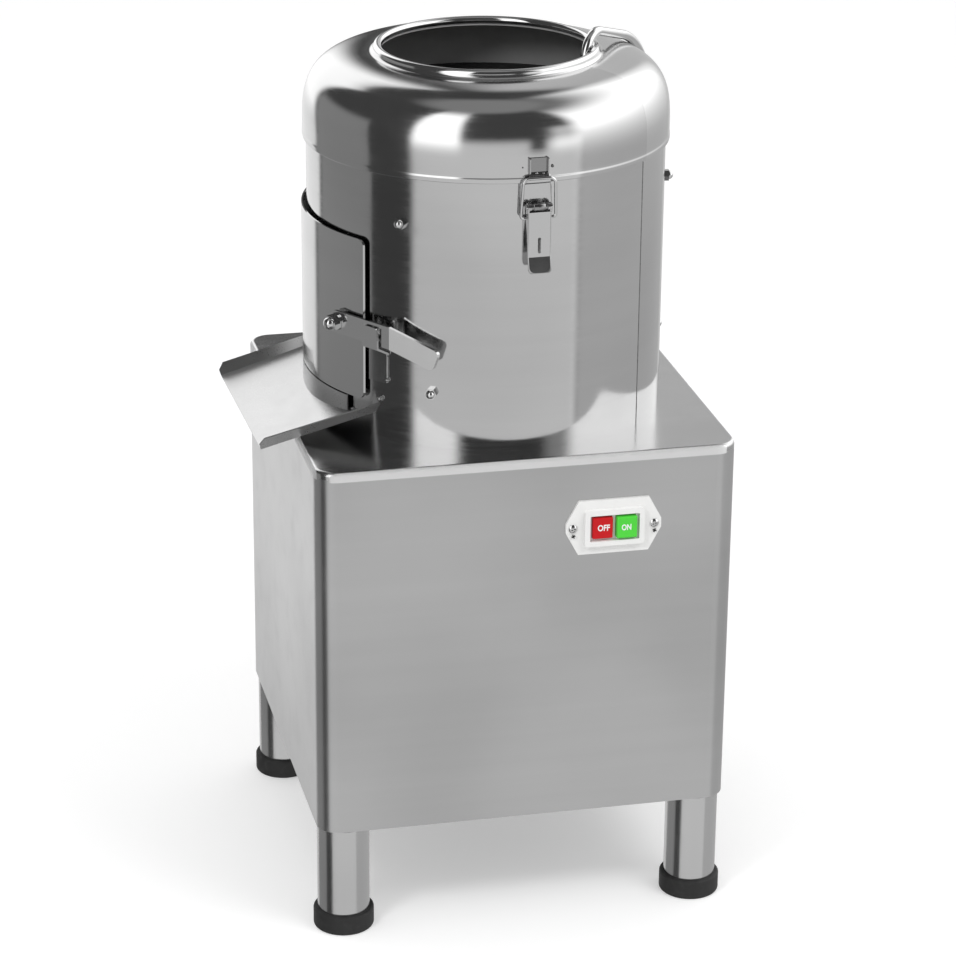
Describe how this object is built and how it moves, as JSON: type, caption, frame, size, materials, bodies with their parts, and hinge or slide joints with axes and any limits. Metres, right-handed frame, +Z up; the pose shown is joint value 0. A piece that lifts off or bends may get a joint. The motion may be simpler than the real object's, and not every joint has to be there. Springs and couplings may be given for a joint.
{
  "type": "electric potato peeler",
  "caption": "Floor-standing abrasive vegetable peeler: belt-driven disc in a round drum on a square cabinet, side discharge door and chute, lift-off hood with water tube.",
  "frame": {"origin": "on the floor under the middle of the object's bounding box", "axes": "+Z up along the drum's axis; the switch side faces -Y; the discharge chute points to -X"},
  "size_m": [0.4514, 0.455, 0.8423],
  "materials": {
    "stainless": "fine brushed stainless sheet",
    "polished": "polished stainless fittings",
    "abrasive": "coarse grit lining on a backing",
    "black_rubber": "matt black rubber",
    "machined_steel": "machined steel",
    "cast_iron": "painted or bare iron casting",
    "cast_aluminium": "rough cast aluminium with grit",
    "painted_steel": "grey-blue enamel",
    "white_plastic": "glossy white moulding",
    "grey_plastic": "dark grey moulding",
    "red_plastic": "glossy red moulding",
    "green_plastic": "glossy green moulding"
  },
  "bodies": {
    "cabinet": {"base_shell": "stainless", "top_plate": "stainless", "rear_panel": "stainless", "rear_panel_screws": "polished", "legs": "stainless", "feet": "black_rubber", "drum_shell": "stainless", "drum_floor": "stainless", "wall_liner": "abrasive", "liner_screws": "polished", "door_catch": "stainless", "hinge_fixed_leaves": "polished", "hinge_pins": "polished", "chute": "stainless", "waste_pipe": "stainless", "bearing_housing": "cast_iron", "bearings": "machined_steel", "shaft_seal": "black_rubber", "housing_nuts": "machined_steel", "motor_mount": "painted_steel", "motor_body": "painted_steel", "motor_cowl": "painted_steel", "terminal_box": "grey_plastic", "capacitor": "grey_plastic", "motor_bolts": "machined_steel", "v_belt": "black_rubber", "switch_plate": "white_plastic", "switch_body": "grey_plastic", "switch_screws": "polished", "cable_gland": "grey_plastic", "front_latch_base": "polished", "front_latch_pin": "polished", "rear_latch_base": "polished", "rear_latch_pin": "polished"},
    "disc": {"peeling_disc": "cast_aluminium", "disc_wipers": "cast_aluminium", "disc_nut": "machined_steel", "main_shaft": "machined_steel", "shaft_pulley": "cast_iron"},
    "motor_rotor": {"motor_shaft": "machined_steel", "motor_pulley": "cast_iron"},
    "hood": {"hood_shell": "stainless", "hood_seal": "black_rubber", "front_keeper": "polished", "rear_keeper": "polished", "water_tube": "polished", "tube_clip": "polished"},
    "door": {"door_panel": "stainless", "door_pad": "abrasive", "hinge_moving_leaves": "polished", "lever_bolt": "polished", "lever_nut": "polished"},
    "lever": {"door_lever": "polished"},
    "front_toggle": {"front_latch_lever": "polished"},
    "front_bail": {"front_latch_bail": "polished"},
    "rear_toggle": {"rear_latch_lever": "polished"},
    "rear_bail": {"rear_latch_bail": "polished"},
    "stop_button": {"off_button": "red_plastic"},
    "start_button": {"on_button": "green_plastic"}
  },
  "joints": [
    {"name": "disc_spin", "type": "hinge", "parent": "cabinet", "child": "disc", "pos_m": [0.02031, -0.0175, 0.5], "axis": [0, 0, 1], "continuous": true},
    {"name": "motor_spin", "type": "hinge", "parent": "cabinet", "child": "motor_rotor", "pos_m": [0.10834, 0.07054, 0.26], "axis": [0, 0, 1], "continuous": true},
    {"name": "hood_lift", "type": "slide", "parent": "cabinet", "child": "hood", "axis": [0, 0, 1], "range_m": [0, 0.12]},
    {"name": "door_swing", "type": "hinge", "parent": "cabinet", "child": "door", "pos_m": [-0.11576, 0.09586, 0.597], "axis": [0, 0, -1], "range_deg": [0, 110]},
    {"name": "lever_lift", "type": "hinge", "parent": "door", "child": "lever", "pos_m": [-0.13989, -0.09985, 0.5896], "axis": [-0.83, -0.5577, 0], "range_deg": [0, 32]},
    {"name": "front_toggle_lift", "type": "hinge", "parent": "cabinet", "child": "front_toggle", "pos_m": [0.02904, -0.19599, 0.72], "axis": [-0.9988, -0.0489, 0], "range_deg": [0, 150]},
    {"name": "front_bail_tilt", "type": "hinge", "parent": "front_toggle", "child": "front_bail", "pos_m": [0.02895, -0.19419, 0.709], "axis": [-0.9988, -0.0489, 0], "range_deg": [-150, 0]},
    {"name": "rear_toggle_lift", "type": "hinge", "parent": "cabinet", "child": "rear_toggle", "pos_m": [0.01158, 0.16099, 0.72], "axis": [0.9988, 0.0489, 0], "range_deg": [0, 150]},
    {"name": "rear_bail_tilt", "type": "hinge", "parent": "rear_toggle", "child": "rear_bail", "pos_m": [0.01167, 0.15919, 0.709], "axis": [0.9988, 0.0489, 0], "range_deg": [-150, 0]},
    {"name": "stop_press", "type": "slide", "parent": "cabinet", "child": "stop_button", "axis": [0, 1, 0], "range_m": [0, 0.003], "stiffness_N_per_m": 600, "springref_m": -0.001},
    {"name": "start_press", "type": "slide", "parent": "cabinet", "child": "start_button", "axis": [0, 1, 0], "range_m": [0, 0.003], "stiffness_N_per_m": 600, "springref_m": -0.001}
  ],
  "couplings": [
    {"joint": "motor_spin", "follows": "disc_spin", "ratio": 3.3077},
    {"joint": "front_bail_tilt", "follows": "front_toggle_lift", "ratio": -1},
    {"joint": "rear_bail_tilt", "follows": "rear_toggle_lift", "ratio": -1}
  ]
}
